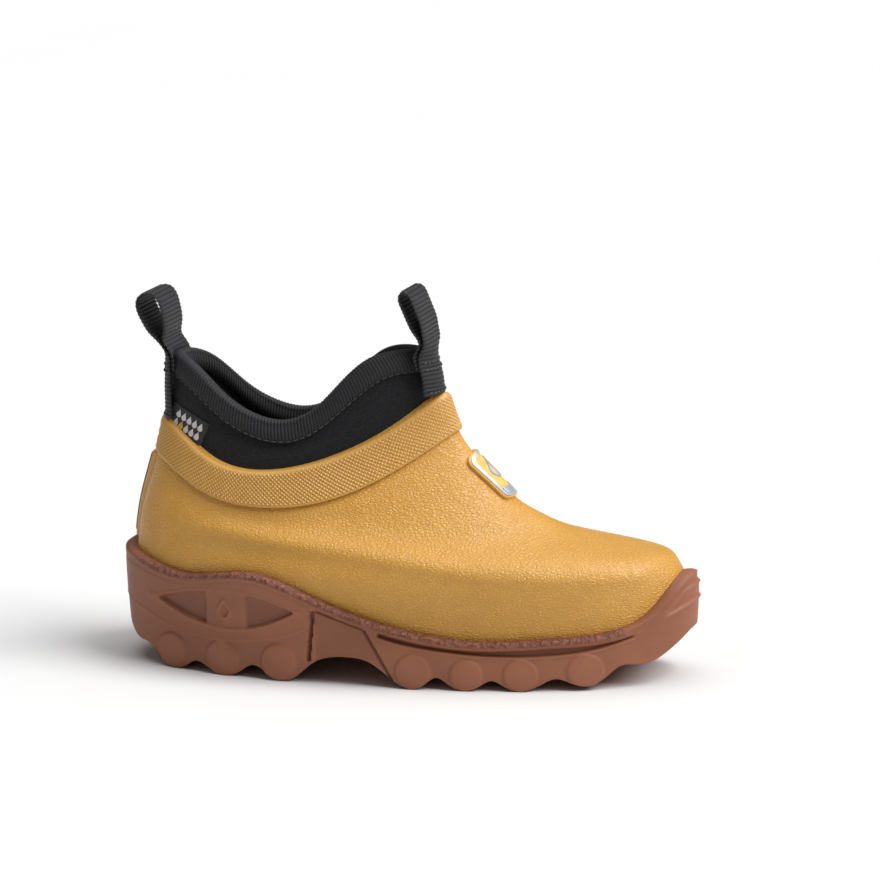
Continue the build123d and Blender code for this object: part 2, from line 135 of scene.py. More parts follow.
def even_turns(line, inset, count):
    """Angles whose points are evenly spaced along the last where it crosses a line, and its length."""
    fine = np.linspace(0, 2 * np.pi, 4001)
    share = share_at(fine)
    z = crossing(line, share)
    x, y = last_xy(z, inset, share)
    hops = np.sqrt(np.diff(x) ** 2 + np.diff(y) ** 2 + np.diff(z) ** 2)
    run = np.concatenate([[0], np.cumsum(hops)])
    return np.interp(np.linspace(0, run[-1], count, endpoint=False), run, fine), run[-1]


def on_last(z, inset, share):
    """Points on the last's outline at height z."""
    x, y = last_xy(z, inset, share)
    return np.stack([x, y, np.broadcast_to(z, x.shape)], axis=-1)


def between(first, last, count, power=1.0, end=True):
    """Rows that blend from first to last, packed towards first by a power above 1."""
    t = np.linspace(0, 1, count, endpoint=end)[:, None] ** power
    return first + (last - first) * t


def skin(name, points, body, node, round_rows=True, edge=50, attribute=None):
    """Mesh over a grid of points (rows, columns, xyz) in millimetres. Columns close on themselves, and
    rows can too."""
    rows, columns = points.shape[:2]
    i, j = np.meshgrid(np.arange(rows - (not round_rows)), np.arange(columns), indexing="ij")
    here, below = i * columns, (i + 1) % rows * columns
    beside = (j + 1) % columns
    quads = np.stack([here + j, here + beside, below + beside, below + j], -1).reshape(-1, 4)
    return mesh_of(name, points.reshape(-1, 3), quads, body, node, edge, attribute)


def mesh_of(name, flat, quads, body, node, edge=50, attribute=None):
    """Object from points in millimetres and quads, on its body if given, standing for its CAD nodes. Points
    that fall together are merged, and the sign of the volume turns the faces outwards."""
    a, b, c, d = (flat[quads[:, k]] for k in range(4))
    volume = np.sum(a * np.cross(b, c)) + np.sum(a * np.cross(c, d))
    if volume < 0:
        quads = quads[:, ::-1]
    mesh = bpy.data.meshes.new(name)
    mesh.vertices.add(len(flat))
    mesh.vertices.foreach_set("co", (flat * MM).astype(np.float32).ravel())
    mesh.loops.add(quads.size)
    mesh.loops.foreach_set("vertex_index", quads.astype(np.int32).ravel())
    mesh.polygons.add(len(quads))
    mesh.polygons.foreach_set("loop_start", np.arange(0, quads.size, 4, dtype=np.int32))
    mesh.update(calc_edges=True)
    for key, values in (attribute or {}).items():
        layer = mesh.attributes.new(key, "FLOAT", "POINT").data
        layer.foreach_set("value", np.ravel(values).astype(np.float32))
    shape = bmesh.new()
    shape.from_mesh(mesh)
    bmesh.ops.remove_doubles(shape, verts=shape.verts, dist=MERGE)
    bmesh.ops.dissolve_degenerate(shape, edges=shape.edges, dist=MERGE / 20)
    shape.to_mesh(mesh)
    shape.free()
    mesh.polygons.foreach_set("use_smooth", np.ones(len(mesh.polygons), bool))
    mesh.set_sharp_from_angle(angle=np.radians(edge))
    piece = bpy.data.objects.new(name, mesh)
    bpy.context.scene.collection.objects.link(piece)
    if body:
        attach(piece, body)
    if node:
        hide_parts(*node)
    return piece


class Signal:
    """A shader socket. Arithmetic on it adds Math nodes, and node() adds any other kind."""

    def __init__(self, tree, socket=None):
        self.tree, self.socket = tree, socket

    def node(self, kind, settings=None, inputs=None, output=0):
        made = self.tree.nodes.new(kind)
        for key, value in (settings or {}).items():
            setattr(made, key, value)
        for key, value in (inputs or {}).items():
            if isinstance(value, Signal):
                self.tree.links.new(value.socket, made.inputs[key])
            else:
                made.inputs[key].default_value = value
        return Signal(self.tree, made.outputs[output])

    def math(self, operation, *values):
        return self.node("ShaderNodeMath", {"operation": operation}, dict(enumerate(values)))

    def __add__(self, other):
        return self.math("ADD", self, other)

    def __sub__(self, other):
        return self.math("SUBTRACT", self, other)

    def __rsub__(self, other):
        return self.math("SUBTRACT", other, self)

    def __mul__(self, other):
        return self.math("MULTIPLY", self, other)

    __radd__, __rmul__ = __add__, __mul__


def srgb(red, green, blue):
    """Linear colour from 0-255 sRGB."""
    c = np.array([red, green, blue]) / 255
    return (*np.where(c <= 0.04045, c / 12.92, ((c + 0.055) / 1.055) ** 2.4).tolist(), 1.0)


class Finish:
    """A Principled material in the making: constants are set on the shader's own sockets."""

    def __init__(self, name, **constants):
        self.material = bpy.data.materials.new(name)
        self.material.use_nodes = True
        tree = self.material.node_tree
        self.shader = tree.nodes["Principled BSDF"].inputs
        self.node = Signal(tree).node
        for key, value in constants.items():
            self.shader[key.replace("_", " ")].default_value = value
        self.place = self.node("ShaderNodeTexCoord", output=3)

    def stretched(self, scale, turn=(0, 0, 0)):
        return self.node("ShaderNodeMapping", {},
                         {"Vector": self.place, "Scale": scale, "Rotation": turn})

    def noise(self, scale, detail=2.0, vector=None):
        return self.node("ShaderNodeTexNoise", {},
                         {"Vector": vector or self.place, "Scale": scale, "Detail": detail})

    def cells(self, scale, feature="F1", vector=None):
        return self.node("ShaderNodeTexVoronoi", {"feature": feature},
                         {"Vector": vector or self.place, "Scale": scale})

    def level(self, signal, low, high, bottom=0.0, top=1.0):
        return self.node("ShaderNodeMapRange", {"interpolation_type": "SMOOTHSTEP"},
                         dict(enumerate([signal, low, high, bottom, top])))

    def mix(self, factor, a, b):
        return self.node("ShaderNodeMix", {"data_type": "RGBA"}, {0: factor, 6: a, 7: b}, output=2)

    def attribute(self, name):
        return self.node("ShaderNodeAttribute", {"attribute_name": name}, output=2)

    def bump(self, height, distance, strength):
        return self.node("ShaderNodeBump", {},
                         {"Height": height, "Distance": distance, "Strength": strength})

    def to(self, **signals):
        for key, signal in signals.items():
            self.material.node_tree.links.new(signal.socket, self.shader[key.replace("_", " ")])
        return self.material


def wear(piece, material):
    """Give a piece its one material."""
    piece.data.materials.clear()
    piece.data.materials.append(material)


GRAIN_DEPTH = 0.00022


def mustard(name, pale, deep, grain, relief=None):
    """Mustard rubber: wandering leather grain in low relief, with painted shade darkening its grooves, and
    a slow drift of colour and gloss. A named relief attribute paints a highlight on the tops of a moulded
    pattern and painted shade in its grooves."""
    f = Finish(name, Specular_IOR_Level=0.6)
    warp = f.noise(160, 2)
    creased = f.stretched((1.0, 1.0, 1.75), (0.35, 0.3, 0))
    pushed = f.node("ShaderNodeVectorMath", {"operation": "SCALE"},
                    {0: f.noise(420, 2, creased), "Scale": 0.0016})
    bent = f.node("ShaderNodeVectorMath", {"operation": "ADD"}, {0: creased, 1: pushed})
    ridge = f.level(f.cells(640, "DISTANCE_TO_EDGE", bent), 0.0, 0.32)
    fine = f.noise(1500, 3, creased)
    height = ridge * 0.75 + fine * 0.55 + f.noise(380, 2, creased) * 0.6
    colour = f.mix(f.level(warp + f.noise(28, 2), 0.7, 1.3), deep, pale)
    # painted shade: the grain's grooves are darkened towards a deep brown
    colour = f.mix((1 - ridge) * 0.16, colour, srgb(140, 92, 30))
    if relief:
        # painted highlight on the pattern's tops and painted shade in its grooves, from the named relief
        # attribute
        tops = f.level(f.attribute(relief), 0.05, 0.75)
        colour = f.mix(tops, f.mix(0.34, colour, srgb(150, 96, 36)),
                       f.mix(0.3, colour, srgb(250, 208, 132)))
    return f.to(Base_Color=colour,
                Roughness=f.level(f.noise(45, 3) + fine * 0.4, 0.5, 1.0, 0.36, 0.47),
                Normal=f.bump(height, GRAIN_DEPTH * grain, 0.75))


MUSTARD = mustard("mustard_grain", srgb(213, 158, 68), srgb(206, 151, 60), 1.15)


def flat_line(height):
    """Side-view line at one height all along."""
    return lambda x: 0 * x + height


around = share_at(even_turns(flat_line(46), 0, 640)[0])
shell_foot = crossing(INSTEP_FLOOR, around)
shell_floor = shell_foot + SHELL_WALL
feather = crossing(FEATHER, around)
band_foot = crossing(BAND_FOOT, around)
band_top = crossing(BAND_TOP, around)


def side_wall(inset, rows):
    """Grid round the boot at rows of heights, moved inwards by inset."""
    return on_last(rows, inset, np.broadcast_to(around, rows.shape))


def zipped(edge_row, count=7):
    """Rows that carry an edge row across the boot to its middle line, where its two sides meet."""
    middle = (edge_row + np.roll(edge_row[::-1], 1, axis=0)) / 2
    t = np.linspace(0, 1, count)[1:, None, None]
    return edge_row + (middle - edge_row) * t


# a soft ridge along the shoulder, with a shallow hollow over it, fading at the heel, the toe and the band
SHOULDER = spline([
    (-85, 54), (-60, 51), (-30, 48.5), (0, 45.5), (20, 42.8), (40, 40.6), (60, 39.6), (80, 39.6),
    (95, 40)])
RIDGE_HIGH, RIDGE_WIDE = 1.15, 3.6
HOLLOW_DEEP, HOLLOW_WIDE, HOLLOW_OVER = 0.55, 6, 9
rows = np.concatenate([between(shell_foot, feather, 6, end=False),
                       between(feather, band_foot + 3, 84, 1.15), between(band_foot + 3, band_top, 4)[1:]])
x, _ = last_xy(rows, 0, around[None, :])
above = rows - SHOULDER(x)
strength = ease(-92, -40, x) * (1 - ease(84, 96, x))
shoulder = (RIDGE_HIGH * np.exp(-(above / RIDGE_WIDE) ** 2)
            - HOLLOW_DEEP * np.exp(-((above - HOLLOW_OVER) / HOLLOW_WIDE) ** 2)) * strength
shoulder *= 1 - ease(-1, 5, rows - band_foot + 6)
outer = side_wall(-shoulder, rows)
inner = side_wall(SHELL_WALL, between(band_top, shell_floor, 14))
shell = skin("upper_shell_skin", np.concatenate([zipped(outer[0])[::-1], outer, inner, zipped(inner[-1])]),
             "boot", ["upper_shell"], round_rows=False)
wear(shell, MUSTARD)

# ==== Cuff band: knurled rubber ribbon ====
# A ribbon of the same rubber wrapped round the shell's top edge and bonded, 1.3 mm proud. A diamond
# knurl is rolled into its face, its two edges are left plain, and its ends meet at the heel.
BAND_PROUD = 1.3
KNURL_PITCH, KNURL_DEPTH, KNURL_STEEP = 1.6, 0.5, 1.15
SEAM_HALF = 0.45


def diamonds(along, across):
    """1 on each pyramid's peak and 0 in the grooves: the lesser of two crossed triangle waves."""
    first, second = (np.abs(((along + way * across * KNURL_STEEP) / KNURL_PITCH) % 1 * 2 - 1)
                     for way in (1, -1))
    return 1 - np.maximum(first, second)


band_turns, band_length = even_turns(BAND_FOOT, 0, 1330)
around = share_at(band_turns)
band_foot, band_top = crossing(BAND_FOOT, around), crossing(BAND_TOP, around)
fold = np.linspace(0, 1, 46)[:, None]
run = np.arange(len(around)) / len(around) * band_length
height = fold * (band_top - band_foot)
bottom_edge, top_edge = ease(0.05, 0.09, fold), ease(0.90, 0.94, fold)
knurl = diamonds(run[None, :], height) * bottom_edge * (1 - top_edge)
rounded = 0.5 * np.maximum(0, 1 - fold / 0.05) ** 2 + 0.5 * np.maximum(0, 1 - (1 - fold) / 0.05) ** 2
seam = 1 - 0.6 * np.exp(-(np.minimum(run, band_length - run) / SEAM_HALF) ** 2)[None, :]
face = side_wall(-(BAND_PROUD - 0.2 + KNURL_DEPTH * knurl - rounded) * seam, band_foot + height)
back = side_wall(0.05, between(band_top, band_foot, 3))
# the knurl's height, stored to paint a highlight on its peaks and shade in its grooves; the plain edges
# take a middle value
tops = np.concatenate([knurl + 0.4 * (1 - bottom_edge + top_edge) + 0 * height, back[..., 0] * 0 + 0.4])
band = skin("cuff_band_knurled", np.concatenate([face, back]), "boot", ["cuff_band"],
            edge=75, attribute={"knurl": tops})
wear(band, mustard("mustard_band", srgb(210, 157, 70), srgb(204, 150, 62), 0.3, "knurl"))

# ==== Heel: seam stitches, rib and reflector ====
# Two rows of mustard thread close the band at the heel. Below it a raised rubber rib covers the
# shell's back seam, and a grey reflective strip is bonded along the rib.
RIB_WIDTH, RIB_PROUD = 10.0, 2.3
STRIP_WIDTH, STRIP_PROUD = 6.0, 0.5
STITCH_PITCH, STITCH_LONG, STITCH_SIDE, BAND_MARGIN = 3.2, 2.3, 2.2, 2.2
BAND_THREAD, THREAD_PROUD = 0.3, 0.12
SLOPE_STEP, THIN_EDGE = 0.25, 0.12


def share_of(y, z, inset, end):
    """Share of the outline at the heel (end 0) or the toe (end 1) that lies y to a side, by halving."""
    side = np.where(y < 0, -1.0, 1.0)
    near, far = np.full(np.shape(y + z), float(end)), np.full(np.shape(y + z), 0.42)
    for _ in range(HALVINGS):
        middle = (near + far) / 2
        wide = np.abs(last_xy(z, inset, side * middle)[1]) > np.abs(y)
        near, far = np.where(wide, near, middle), np.where(wide, middle, far)
    return side * (near + far) / 2


def facing(y, z, proud, end):
    """Points on the heel (end 0) or the instep (end 1) at y, z, standing proud along the last's normal,
    which comes from the last's slopes along y and z."""
    y, z, proud = np.broadcast_arrays(y, z, proud)

    def depth(y, z):
        return last_xy(z, 0, share_of(y, z, 0, end))[0]

    x = depth(y, z)
    slope_y = (depth(y + SLOPE_STEP, z) - depth(y - SLOPE_STEP, z)) / (2 * SLOPE_STEP)
    slope_z = (depth(y, z + SLOPE_STEP) - depth(y, z - SLOPE_STEP)) / (2 * SLOPE_STEP)
    out = 1 if end else -1
    normal = np.stack([np.ones_like(x), -slope_y, -slope_z], -1) * out
    normal /= np.linalg.norm(normal, axis=-1, keepdims=True)
    return np.stack([x, y, z], -1) + normal * proud[..., None]


def strip_on_heel(name, width, proud, base, low, high, node, material):
    """Rounded strip up the heel: a half-round profile across, tapered to a thin edge at its two ends."""
    z, a = np.meshgrid(np.linspace(low, high, 90), np.linspace(-1, 1, 29), indexing="ij")
    crown = (1 - np.abs(a) ** 5) * ease(low, low + 1.0, z) * (1 - ease(high - 1.0, high, z))
    top = facing(a * width / 2, z, base + THIN_EDGE + (proud - THIN_EDGE) * crown, 0)
    under = facing(a * width / 2, z, base, 0)
    grid = np.concatenate([top, under[:, ::-1]], axis=1)
    grid = np.concatenate([(grid[:1] + grid[:1, ::-1]) / 2, grid, (grid[-1:] + grid[-1:, ::-1]) / 2])
    wear(skin(name, grid, "boot", node, round_rows=False), material)


strip_on_heel("heel_rib_moulded", RIB_WIDTH, RIB_PROUD, -0.1, 40.4, 72.5, ["heel_rib"],
              mustard("mustard_rib", srgb(214, 163, 80), srgb(202, 151, 66), 0.6))
f = Finish("reflective_film", Metallic=0.55, Coat_Weight=0.35)
beads = f.cells(2600)
reflective = f.to(Base_Color=f.mix(f.level(beads, 0.1, 0.6), srgb(150, 155, 160), srgb(96, 101, 106)),
                  Roughness=f.level(f.noise(90, 3), 0.3, 0.7, 0.28, 0.42),
                  Normal=f.bump(beads, 0.00006, 0.6))
strip_on_heel("heel_reflector_strip", STRIP_WIDTH, STRIP_PROUD, RIB_PROUD - 0.1, 43, 71,
              ["heel_reflector"], reflective)


def threads(name, starts, ends, radius, body, node, material):
    """One capsule of thread per stitch: rings of a circle carried from start to end, rounded at both."""
    count, rings, sides = len(starts), 7, 8
    t = np.array([0, 0.06, 0.2, 0.5, 0.8, 0.94, 1.0])
    swell = np.array([0.05, 0.7, 1.0, 1.0, 1.0, 0.7, 0.05])
    axis = ends - starts
    axis = axis / np.linalg.norm(axis, axis=1, keepdims=True)
    side = np.cross(axis, [0.31, 0.23, 0.92])
    side /= np.linalg.norm(side, axis=1, keepdims=True)
    other = np.cross(axis, side)
    turn = np.linspace(0, 2 * np.pi, sides, endpoint=False)
    centre = starts[:, None] + (ends - starts)[:, None] * t[None, :, None]
    ring = side[:, None] * np.cos(turn)[None, :, None] + other[:, None] * np.sin(turn)[None, :, None]
    points = centre[:, :, None] + ring[:, None] * (radius * swell)[None, :, None, None]
    k, i, j = np.meshgrid(np.arange(count), np.arange(rings - 1), np.arange(sides), indexing="ij")
    here, below = (k * rings + i) * sides, (k * rings + i + 1) * sides
    beside = (j + 1) % sides
    quads = np.stack([here + j, here + beside, below + beside, below + j], -1)
    wear(mesh_of(name, points.reshape(-1, 3), quads.reshape(-1, 4), body, node), material)


def thread_finish(name, colour, shade):
    """Spun thread: fine slanted plies across its length, with painted shade in the grooves between them."""
    f = Finish(name, Sheen_Weight=0.2, Roughness=0.7)
    ply = f.node("ShaderNodeTexWave", {}, {"Vector": f.stretched((1, 1, 1), (0.6, 0.5, 0.4)),
                                           "Scale": 1100.0, "Distortion": 1.5})
    # painted shade: the grooves between the plies take the darker colour
    return f.to(Base_Color=f.mix(ply, shade, colour), Normal=f.bump(ply, 0.00008, 0.8))


low, high = float(BAND_FOOT(-90)) + BAND_MARGIN, float(BAND_TOP(-90)) - BAND_MARGIN
z = np.repeat(np.arange(low, high - 2, STITCH_PITCH), 2)
y = np.tile([-STITCH_SIDE, STITCH_SIDE], len(z) // 2)
starts, ends = (facing(y, z + part, BAND_PROUD + THREAD_PROUD, 0) for part in (0, STITCH_LONG))
threads("band_seam_thread", starts, ends, BAND_THREAD, "boot", ["band_seam_stitches"],
        thread_finish("mustard_thread_spun", srgb(214, 158, 78), srgb(176, 122, 52)))

# ==== Collar: neoprene ====
# A ring of black jersey-faced neoprene, 2.6 mm thick, tucked behind the band's top edge and
# stitched to the shell. Its edge dips low over the ankle and rises to the heel and the instep.
RIM = spline([
    (-108, 108.5), (-88, 108), (-79, 105), (-65, 94.5), (-52, 88), (-40, 86.7), (-28, 92), (-18, 101),
    (-8, 109), (0, 111.5), (10, 112), (30, 112)])
COLLAR_FACE, COLLAR_BACK, COLLAR_TUCK = 1.8, 4.4, 9
TAPE_DROP = 6.5
FULLNESS, RIPPLE, RIPPLES = 0.5, 0.12, 9
around = share_at(even_turns(BAND_TOP, 0, 420)[0])
band_top, rim = crossing(BAND_TOP, around), crossing(RIM, around)
tape_foot = rim - TAPE_DROP
rows = between(band_top - COLLAR_TUCK, rim, 30)
open_part = np.clip((rows - band_top) / np.maximum(tape_foot - band_top, 1), 0, 1)
fullness = np.sin(np.pi * open_part) * FULLNESS
creases = RIPPLE * np.sin(np.arange(len(around)) / len(around) * 2 * np.pi * RIPPLES + 1.3) * fullness
collar = skin("neoprene_collar_soft",
              np.concatenate([side_wall(COLLAR_FACE - fullness - creases, rows),
                              side_wall(COLLAR_BACK, between(rim, band_top - COLLAR_TUCK, 12))]),
              "boot", ["neoprene_collar"])
f = Finish("neoprene_jersey", Sheen_Weight=0.12, Sheen_Roughness=0.5, Specular_IOR_Level=0.25)
knit = f.level(f.cells(2100, "F1", f.stretched((1, 1, 0.7))), 0.1, 0.75)
fuzz = f.noise(3200, 2)
dye = f.mix(f.level(fuzz + knit * 0.5, 0.5, 1.2), srgb(31, 31, 35), srgb(15, 15, 18))
wear(collar, f.to(Base_Color=dye,
                  Roughness=f.level(fuzz, 0.3, 0.7, 0.72, 0.92),
                  Normal=f.bump(knit + fuzz * 0.6, 0.00013, 0.7)))

# ==== Binding: grosgrain tape over the collar's edge ====
# Ribbed black tape folded over the collar's cut edge and padded by it into a round bead. Its ribs run
# across the edge, about one each millimetre, and a lockstitch holds both legs along their feet.
TAPE, TAPE_SWELL = 0.7, 1.0
RIB_PITCH, RIB_HIGH, RIB_POINTS = 1.2, 0.3, 7
LEG_ROWS, FOLD_ROWS = 12, 18
_, rim_length = even_turns(RIM, COLLAR_FACE, 8)
rib_count = int(round(rim_length / RIB_PITCH))
around = share_at(even_turns(RIM, COLLAR_FACE, rib_count * RIB_POINTS)[0])
rim = crossing(RIM, around)
middle = (COLLAR_FACE + COLLAR_BACK) / 2
reach = (COLLAR_BACK - COLLAR_FACE) / 2 + TAPE
# profile: up the outer leg, over the edge, down the inner leg, and back through the collar
leg = np.linspace(0, 1, LEG_ROWS, endpoint=False)
over = np.linspace(0, np.pi, FOLD_ROWS)
swell = TAPE_SWELL * np.sin(np.pi * leg ** 0.8)
leg_rise = -TAPE_DROP + leg * (TAPE_DROP - 0.5)
inset = np.concatenate([middle - reach - swell, middle - reach * np.cos(over),
                        (middle + reach + swell)[::-1], [middle + reach - 0.5], [middle - reach + 0.5]])
rise = np.concatenate([leg_rise, -0.5 + 1.5 * np.sin(over) ** 0.9, leg_rise[::-1],
                       [-TAPE_DROP + 0.1], [-TAPE_DROP + 0.1]])
outwards = np.concatenate([-np.ones(LEG_ROWS), -np.cos(over), np.ones(LEG_ROWS), [0, 0]])
upwards = np.concatenate([np.zeros(LEG_ROWS), np.sin(over), np.zeros(LEG_ROWS + 2)])
slant = (np.arange(len(around)) / RIB_POINTS)[None, :] + (rise * 0.07)[:, None]
in_sight = (np.arange(len(inset)) < len(inset) - 2)[:, None]
ribs = RIB_HIGH * np.abs(np.sin(np.pi * slant)) ** 0.7 * in_sight
binding = skin("top_binding_grosgrain",
               side_wall(inset[:, None] + outwards[:, None] * ribs,
                         rim + (rise[:, None] + upwards[:, None] * ribs)),
               "boot", ["top_binding"], edge=80, attribute={"rib": ribs / RIB_HIGH})


def black_cloth(name, pale, dark, painted_valley_shade):
    """Black polyester weave: fine threads that cross the ribs, a low sheen, and painted shade in the
    valleys between the ribs.
    """
    f = Finish(name, Sheen_Weight=0.06, Sheen_Roughness=0.45, Specular_IOR_Level=0.3)
    fine = f.noise(2600, 3)
    strands = f.cells(2400)
    tops = f.level(f.attribute("rib"), 0.25, 0.9)
    # painted shade: the valleys between the ribs take a near-black colour
    return f.to(Base_Color=f.mix(tops, painted_valley_shade, f.mix(f.level(fine, 0.3, 0.7), dark, pale)),
                Roughness=f.level(fine, 0.3, 0.7, 0.55, 0.72),
                Normal=f.bump(strands + fine, 0.00008, 0.6))


GROSGRAIN = black_cloth("grosgrain_black", srgb(46, 46, 49), srgb(30, 30, 33), srgb(10, 10, 11))
wear(binding, GROSGRAIN)

LOCK_PITCH, LOCK_SHARE, LOCK_THREAD = 2.5, 0.62, 0.24
_, stitch_run = even_turns(RIM, 1, 8)
stitch_turns, _ = even_turns(RIM, 1, int(stitch_run / LOCK_PITCH))
starts = share_at(stitch_turns)
ends = share_at(stitch_turns + LOCK_SHARE * np.median(np.diff(stitch_turns)))


def on_tape_foot(share):
    """Points on the binding's outer leg, just above its foot."""
    return on_last(crossing(RIM, share) - TAPE_DROP + 0.5, 0.1, share)


threads("binding_lockstitch", on_tape_foot(starts), on_tape_foot(ends), LOCK_THREAD, "boot",
        ["binding_stitches"], thread_finish("black_thread_spun", srgb(66, 66, 70), srgb(28, 28, 30)))

# ==== Pull loops: ribbed webbing at the heel and the front ====
# One length of 20 mm polypropylene webbing each, folded into a loop. Its two ends lie on the outside of
# the binding, a bar of stitches holds both, and the outer end runs on down to the band's edge.
WEB_WIDTH, WEB, WEB_RIB, WEB_RELIEF = 20.0, 1.5, 1.45, 0.34
FOLD_RISE, BAR_DROP, TAPE_PROUD = 2.5, 6.0, 1.1
FACE_POINTS, BAR_THREAD, BAR_PITCH, BAR_STITCH = 22, 0.27, 1.9, (0, 1.35, 0.12)
HUG = {"heel": 0.55, "front": 0.25}      # share of the collar's curve that the sewn part follows
WEBBING = black_cloth("webbing_black", srgb(50, 48, 52), srgb(30, 29, 32), srgb(9, 9, 10))
BLACK_THREAD = thread_finish("black_bar_thread", srgb(74, 72, 76), srgb(32, 31, 34))


def tape_x(end, z):
    """Where the binding's face crosses the middle plane at a height."""
    return HEEL_LINE(z) + TAPE_PROUD if end == "heel" else TOE_LINE(z + TAPE_PROUD) - TAPE_PROUD


def wrapped(end, y, z, z_fold):
    """How far a sewn strap curls back round the collar at y: the tape's own outline, less and less above
    the fold."""
    at = np.minimum(z, z_fold - 5)
    toe = float(end == "front")
    here, centre = (last_xy(at, TAPE_PROUD, share_of(v, at, TAPE_PROUD, toe))[0] for v in (y, 0 * y + 1e-3))
    return (here - centre) * (HUG[end] * (1 - ease(z_fold - 5, z_fold + 3, z)))


def pull_loop(end, out, lean, half):
    """Flat strap carried along a path in the middle plane: up the tape, round a drop-shaped eye and back
    down behind itself. Each cross rib is half a sine wave thick, and the strap's edges are rounded."""
    rim = float(RIM(tape_x(end, 108)))
    x_fold, z_fold = float(tape_x(end, rim)) + out * 1.6, rim + TAPE + FOLD_RISE
    z_bar = rim - BAR_DROP
    z_foot = float(BAND_TOP(tape_x(end, z_bar - 12))) - 0.3
    z = np.array([z_foot, z_foot + 0.3 * (z_bar - z_foot), z_foot + 0.7 * (z_bar - z_foot), z_bar + 0.6,
                  z_bar + 3, z_fold])
    tail = np.stack([tape_x(end, z) + out * np.array([0.7, 1.3, 2.1, 2.3, 2.4, 2.4]), z], 1)
    tail[-1] = x_fold + out * 0.8, z_fold
    # half the eye, as lengths out from and along its axis, then its crown and the same flank back
    wide, shoulder, top = half - 0.75, 16.2, 20.2
    flank = [(0.85, 2.4), (0.45 * half + 0.5, 6.6), (0.9 * half - 0.5, 11.8), (wide, shoulder)]
    crown = [(wide * u, shoulder + (top - shoulder) * w) for u, w in ((0.72, 0.74), (0, 1), (-0.72, 0.74))]
    drop = np.array(flank + crown + [(-u, w) for u, w in reversed(flank)]) * [out, 1]
    c, s = np.cos(np.radians(lean)), np.sin(np.radians(lean))
    eye = [x_fold, z_fold] + drop @ [[c, s], [-s, c]]
    down = np.linspace(z_fold, z_bar + 0.8, 4)
    behind = np.stack([tape_x(end, np.minimum(down, rim)) + out * 0.8, down], 1)
    path = np.concatenate([tail, eye, behind])
    run = np.concatenate([[0], np.cumsum(np.hypot(*np.diff(path, axis=0).T))])
    step = np.arange(0, run[-1], 0.18)
    line = np.stack([spline(np.stack([run, path[:, k]], 1))(step) for k in (0, 1)], 1)
    along = np.gradient(line, axis=0)
    along /= np.linalg.norm(along, axis=1, keepdims=True)
    normal = np.stack([-along[:, 1], along[:, 0]], 1)
    rib = np.abs(np.sin(np.pi * step / WEB_RIB)) ** 0.8
    half_thick = WEB / 2 - WEB_RELIEF + WEB_RELIEF * rib
    half_thick[[0, -1]] = 0
    half_wide = WEB_WIDTH / 2 - 0.14 * (1 - rib)
    a = np.cos(np.linspace(0, np.pi, FACE_POINTS))
    a = np.concatenate([-a, a[1:-1]])
    side = np.concatenate([np.ones(FACE_POINTS), -np.ones(FACE_POINTS - 2)])
    thick = half_thick[:, None] * side * (1 - np.abs(a) ** 12)[None, :] ** 0.5
    thick = thick * (1 + 0.035 * np.sin(a * WEB_WIDTH / 2 * 2 * np.pi / 1.3)[None, :])
    y = half_wide[:, None] * a[None, :]
    z = line[:, 1:2] + normal[:, 1:2] * thick
    points = np.stack([line[:, 0:1] + normal[:, 0:1] * thick + wrapped(end, y, z, z_fold), y, z], -1)
    loop = skin(f"{end}_loop_webbing", points, None, None, round_rows=False, edge=80,
                attribute={"rib": rib[:, None] + 0 * a[None, :]})
    return loop, x_fold, z_fold, z_bar, z_foot


def sewn_loop(end, out, lean, half):
    """A strap in one piece from its sewn part on the boot round the loop, and its rows of bar stitches."""
    loop, x_fold, z_fold, z_bar, z_foot = pull_loop(end, out, lean, half)
    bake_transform(loop)
    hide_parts(f"{end}_loop_anchor", f"{end}_pull_loop")
    wear(loop, WEBBING)
    across = np.arange(-WEB_WIDTH / 2 + 1.2, WEB_WIDTH / 2 - 1.6, BAR_PITCH)
    rows = [(z_bar + 0.7, 3.28), (z_bar + 3.1, 3.2), (z_foot + 1.2, 1.8)]
    first = np.array([(float(tape_x(end, z)) + out * off, y, z) for z, off in rows for y in across])
    last = first + BAR_STITCH
    for spot in (first, last):
        spot[:, 0] += wrapped(end, spot[:, 1], spot[:, 2], z_fold)
    threads(f"{end}_loop_bar", first, last, BAR_THREAD, "boot",
            [f"{end}_loop_stitches"], BLACK_THREAD)


sewn_loop("heel", -1, 20.0, 5.0)
sewn_loop("front", 1, 23.0, 2.9)

# ==== Side label: woven, at the heel's outer side ====
# A small folded damask label, sewn flat on the collar with black thread. Two rows of five plain drops
# are woven in it, all white but one, which is yellow.
LABEL_CENTRE, LABEL_TURN = (-78.2, 84.3), np.radians(-24)
LABEL_HALF, LABEL_THICK = (8.2, 4.3), 0.75
DROP_PITCH, DROP_ROWS, DROPS_IN_ROW, FIRST_DROP, DROP_PROUD = 2.5, (1.25, -2.1), 5, -4.4, 0.14
LABEL_THREAD, SHORTEST = 0.13, 0.15


def on_side(a, b, proud):
    """Points on the boot's outer side from side-view lengths along and across the turned label."""
    x = LABEL_CENTRE[0] + a * np.cos(LABEL_TURN) - b * np.sin(LABEL_TURN)
    z = LABEL_CENTRE[1] + a * np.sin(LABEL_TURN) + b * np.cos(LABEL_TURN)
    inset = COLLAR_FACE - 0.35 - proud
    share = (x - HEEL_LINE(z) - inset) / (TOE_LINE(z + inset) - HEEL_LINE(z) - 2 * inset)
    return on_last(z, inset, -np.clip(share, 1e-5, 1))


def plaque(name, place, rows, body, node, material, ring=False, edge=50):
    """Plate built up from outlines at heights. It closes at the middle of its first and last outline, or
    back on itself when it is a ring."""
    grid = [place(outline[:, 0], outline[:, 1], np.full(len(outline), float(h))) for outline, h in rows]
    wear(skin(name, np.stack(grid), body, node, round_rows=ring, edge=edge), material)


